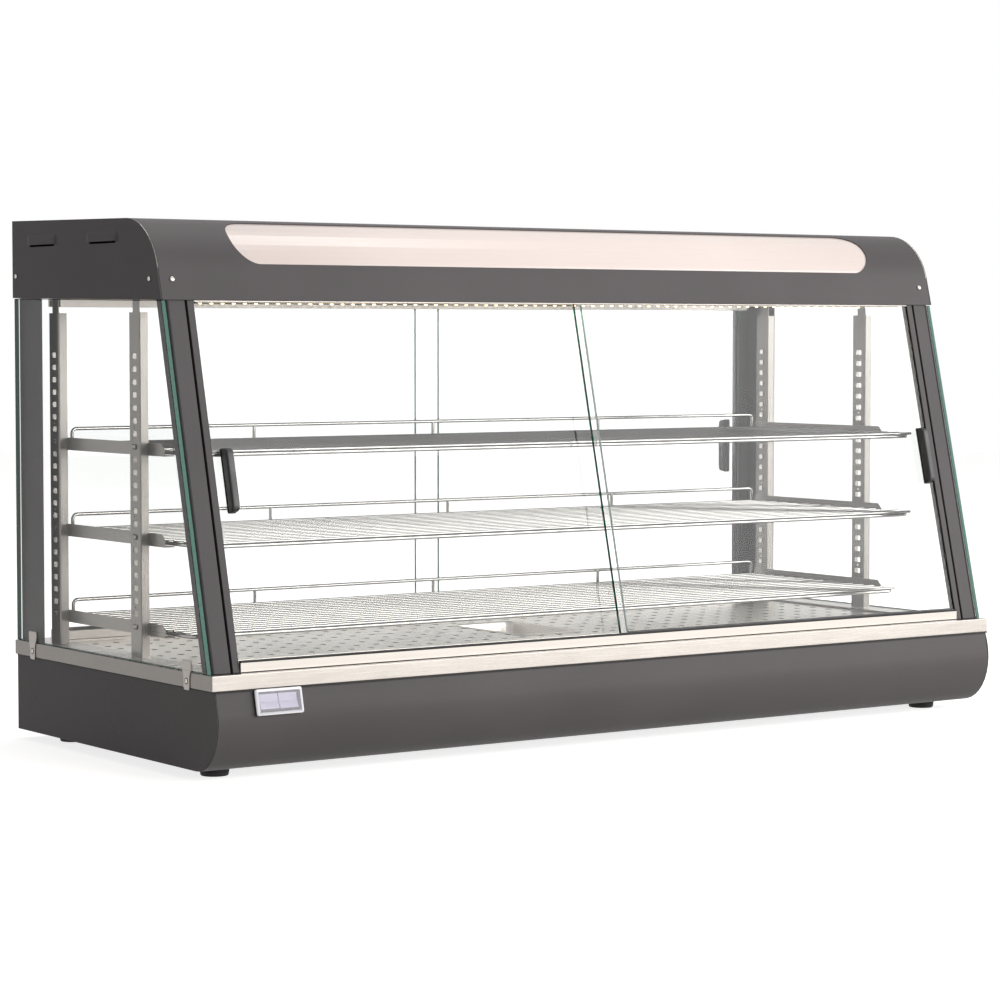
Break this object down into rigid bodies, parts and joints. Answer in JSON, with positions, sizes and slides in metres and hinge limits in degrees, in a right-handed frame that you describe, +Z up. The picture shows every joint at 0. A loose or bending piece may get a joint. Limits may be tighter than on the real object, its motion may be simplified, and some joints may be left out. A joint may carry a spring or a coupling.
{
  "type": "heated display case",
  "caption": "Countertop heated display case with sliding glass doors front and rear, wire shelves, a lit sign canopy, a perforated heated floor and a water tray.",
  "frame": {"origin": "Centre of the whole box's underside, on the plane that the feet stand on.", "axes": "+X along the width to the right seen from the front, +Y from the front to the rear, +Z up."},
  "size_m": [1.2036, 0.5222, 0.65],
  "materials": {
    "painted_steel": "charcoal satin powder coat on sheet steel",
    "stainless_steel": "stainless steel with a soft brushed polish",
    "chromed_wire": "bright chrome-plated wire",
    "clear_glass": "clear toughened glass with polished green edges",
    "clear_cover": "clear moulded splash cover",
    "pale_plastic": "pale grey moulded rockers",
    "black_plastic": "black moulded plastic",
    "black_rubber": "black rubber",
    "white_ceramic": "unglazed white ceramic",
    "white_acrylic": "opal acrylic, lit warm white from behind",
    "aluminium": "pale satin aluminium"
  },
  "bodies": {
    "case": {"base_housing": "painted_steel", "base_fascia": "painted_steel", "rim": "stainless_steel", "heated_floor": "stainless_steel", "heating_element": "stainless_steel", "thermostat": "black_plastic", "terminal_block": "white_ceramic", "cable_gland": "black_plastic", "foot_front_left": "black_rubber", "foot_front_right": "black_rubber", "foot_rear_left": "black_rubber", "foot_rear_right": "black_rubber", "switch_housing": "black_plastic", "switch_cover": "clear_cover", "front_post_left": "painted_steel", "front_post_right": "painted_steel", "rear_post_left": "painted_steel", "rear_post_right": "painted_steel", "side_glass_left": "clear_glass", "side_glass_right": "clear_glass", "glass_clip_front_left": "stainless_steel", "glass_clip_front_right": "stainless_steel", "glass_clip_rear_left": "stainless_steel", "glass_clip_rear_right": "stainless_steel", "front_track": "stainless_steel", "front_head_track": "stainless_steel", "rear_track": "aluminium", "rear_head_track": "aluminium", "canopy_shell": "painted_steel", "canopy_end_left": "painted_steel", "canopy_end_right": "painted_steel", "sign_diffuser": "white_acrylic", "ceiling_panel": "aluminium", "lamp_strip": "white_acrylic", "lamp_driver": "black_plastic", "upright_front_left": "stainless_steel", "upright_front_right": "stainless_steel", "upright_rear_left": "stainless_steel", "upright_rear_right": "stainless_steel", "bracket_top_left": "stainless_steel", "bracket_top_right": "stainless_steel", "bracket_middle_left": "stainless_steel", "bracket_middle_right": "stainless_steel", "bracket_bottom_left": "stainless_steel", "bracket_bottom_right": "stainless_steel", "shelf_top": "chromed_wire", "shelf_middle": "chromed_wire", "shelf_bottom": "chromed_wire"},
    "front_left_door": {"front_pane_left": "clear_glass", "front_pull_left": "black_plastic"},
    "front_right_door": {"front_pane_right": "clear_glass", "front_pull_right": "black_plastic"},
    "rear_left_door": {"rear_pane_left": "clear_glass", "rear_pull_left": "black_plastic"},
    "rear_right_door": {"rear_pane_right": "clear_glass", "rear_pull_right": "black_plastic"},
    "heat_switch": {"rocker_heat": "pale_plastic"},
    "light_switch": {"rocker_light": "pale_plastic"},
    "tray": {"water_tray": "stainless_steel"}
  },
  "joints": [
    {"name": "front_left_door_slide", "type": "slide", "parent": "case", "child": "front_left_door", "axis": [1, 0, 0], "range_m": [0, 0.5435]},
    {"name": "front_right_door_slide", "type": "slide", "parent": "case", "child": "front_right_door", "axis": [-1, 0, 0], "range_m": [0, 0.553]},
    {"name": "rear_left_door_slide", "type": "slide", "parent": "case", "child": "rear_left_door", "axis": [1, 0, 0], "range_m": [0, 0.5435]},
    {"name": "rear_right_door_slide", "type": "slide", "parent": "case", "child": "rear_right_door", "axis": [-1, 0, 0], "range_m": [0, 0.5535]},
    {"name": "heat_rocker_hinge", "type": "hinge", "parent": "case", "child": "heat_switch", "pos_m": [-0.51675, -0.24762, 0.09035], "axis": [1, 0, 0], "range_deg": [0, 14]},
    {"name": "light_rocker_hinge", "type": "hinge", "parent": "case", "child": "light_switch", "pos_m": [-0.51675, -0.24762, 0.09035], "axis": [1, 0, 0], "range_deg": [0, 14]},
    {"name": "tray_lift", "type": "slide", "parent": "case", "child": "tray", "axis": [0, 0, 1], "range_m": [0, 0.026]}
  ]
}
